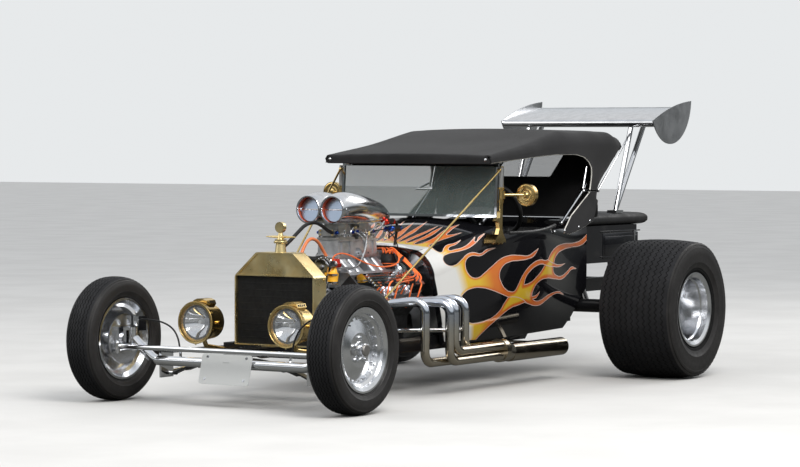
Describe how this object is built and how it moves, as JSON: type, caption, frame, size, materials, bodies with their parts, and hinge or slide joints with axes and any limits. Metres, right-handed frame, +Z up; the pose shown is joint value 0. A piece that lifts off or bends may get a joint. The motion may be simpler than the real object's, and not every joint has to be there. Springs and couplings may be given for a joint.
{
  "type": "street rod roadster",
  "caption": "Open-engine street rod roadster with dropped tube front axle, very wide rear tyres, cloth top, short bed and rear wing; wheels spin and the front wheels steer",
  "frame": {"origin": "on the ground, centre of the length and width", "axes": "X forward, Y to the car's left, Z up"},
  "size_m": [4.3835, 2.3772, 1.575],
  "materials": {
    "black_paint": "deep gloss with flames",
    "black_frame": "gloss",
    "chrome": "polished",
    "polished_aluminium": "polished",
    "brass": "polished",
    "header_metal": "heat tinted",
    "cast_iron": "painted",
    "engine_alloy": "polished",
    "core_black": "matt",
    "tyre": "matt",
    "cloth": "matt",
    "vinyl": "soft sheen",
    "yellow_can": "gloss",
    "glass": "tinted",
    "lens": "clear",
    "plate": "blank"
  },
  "bodies": {
    "body": {"frame": "black_frame", "front_axle": "chrome", "front_suspension": "black_frame", "rear_axle": "black_frame", "rear_suspension": "black_frame", "cowl": "black_paint", "body_tub": "black_paint", "floor_pan": "black_frame", "firewall": "polished_aluminium", "engine_block": "cast_iron", "driveline": "cast_iron", "valve_covers": "chrome", "intake_manifold": "engine_alloy", "intake_plenum": "engine_alloy", "front_drive": "engine_alloy", "distributor": "core_black", "ignition_coil": "yellow_can", "carburettors": "engine_alloy", "air_scoop": "polished_aluminium", "headers_left": "header_metal", "headers_right": "header_metal", "radiator_shell": "brass", "radiator_core": "core_black", "head_lamps": "brass", "lamp_lenses": "lens", "number_plate": "plate", "windscreen_frame": "chrome", "windscreen_glass": "glass", "windscreen_posts": "brass", "mirrors": "brass", "soft_top": "cloth", "top_bows": "chrome", "pickup_bed": "black_paint", "tonneau_cover": "vinyl", "wing": "chrome", "wing_end_plates": "polished_aluminium", "wing_struts": "chrome", "seat_cushion": "vinyl", "seat_back": "vinyl", "steering_column": "chrome"},
    "knuckle_left": {"knuckle_left": "chrome"},
    "knuckle_right": {"knuckle_right": "chrome"},
    "tie_rod": {"tie_rod": "chrome"},
    "drag_link": {"drag_link": "chrome"},
    "pitman_arm": {"pitman_arm": "chrome"},
    "steering_wheel": {"steering_wheel": "vinyl"},
    "wheel_front_left": {"front_wheel_left": "polished_aluminium", "front_tyre_left": "tyre"},
    "wheel_front_right": {"front_wheel_right": "polished_aluminium", "front_tyre_right": "tyre"},
    "wheel_rear_left": {"rear_wheel_left": "polished_aluminium", "rear_tyre_left": "tyre"},
    "wheel_rear_right": {"rear_wheel_right": "polished_aluminium", "rear_tyre_right": "tyre"}
  },
  "joints": [
    {"name": "steer_left", "type": "hinge", "parent": "body", "child": "knuckle_left", "pos_m": [1.87575, 0.605, 0.316], "axis": [0, 0, 1], "range_deg": [-25, 25]},
    {"name": "steer_right", "type": "hinge", "parent": "body", "child": "knuckle_right", "pos_m": [1.87575, -0.605, 0.316], "axis": [0, 0, 1], "range_deg": [-26, 26]},
    {"name": "tie_rod_swing", "type": "hinge", "parent": "knuckle_left", "child": "tie_rod", "pos_m": [1.96375, 0.639, 0.284], "axis": [0, 0, 1], "range_deg": [-26, 26]},
    {"name": "drag_link_swing", "type": "hinge", "parent": "knuckle_left", "child": "drag_link", "pos_m": [1.87575, 0.49, 0.394], "axis": [0, 0, 1], "range_deg": [-26, 26]},
    {"name": "pitman_swing", "type": "hinge", "parent": "body", "child": "pitman_arm", "pos_m": [0.36075, 0.418, 0.468], "axis": [0, -1, 0], "range_deg": [-20, 20]},
    {"name": "steering_wheel_turn", "type": "hinge", "parent": "body", "child": "steering_wheel", "pos_m": [-0.25425, 0.24, 0.94], "axis": [-0.8563, 0, 0.5165], "range_deg": [-402, 402]},
    {"name": "front_left_spin", "type": "hinge", "parent": "knuckle_left", "child": "wheel_front_left", "pos_m": [1.87575, 0.729, 0.316], "axis": [0, 1, 0], "continuous": true},
    {"name": "front_right_spin", "type": "hinge", "parent": "knuckle_right", "child": "wheel_front_right", "pos_m": [1.87575, -0.729, 0.316], "axis": [0, 1, 0], "continuous": true},
    {"name": "rear_left_spin", "type": "hinge", "parent": "body", "child": "wheel_rear_left", "pos_m": [-0.95325, 0.964, 0.388], "axis": [0, 1, 0], "continuous": true},
    {"name": "rear_right_spin", "type": "hinge", "parent": "body", "child": "wheel_rear_right", "pos_m": [-0.95325, -0.964, 0.388], "axis": [0, 1, 0], "continuous": true}
  ],
  "couplings": [
    {"joint": "steer_right", "follows": "steer_left", "ratio": 1},
    {"joint": "tie_rod_swing", "follows": "steer_left", "ratio": -0.948},
    {"joint": "drag_link_swing", "follows": "steer_left", "ratio": -1},
    {"joint": "pitman_swing", "follows": "steer_left", "ratio": 0.756},
    {"joint": "steering_wheel_turn", "follows": "steer_left", "ratio": 16}
  ]
}
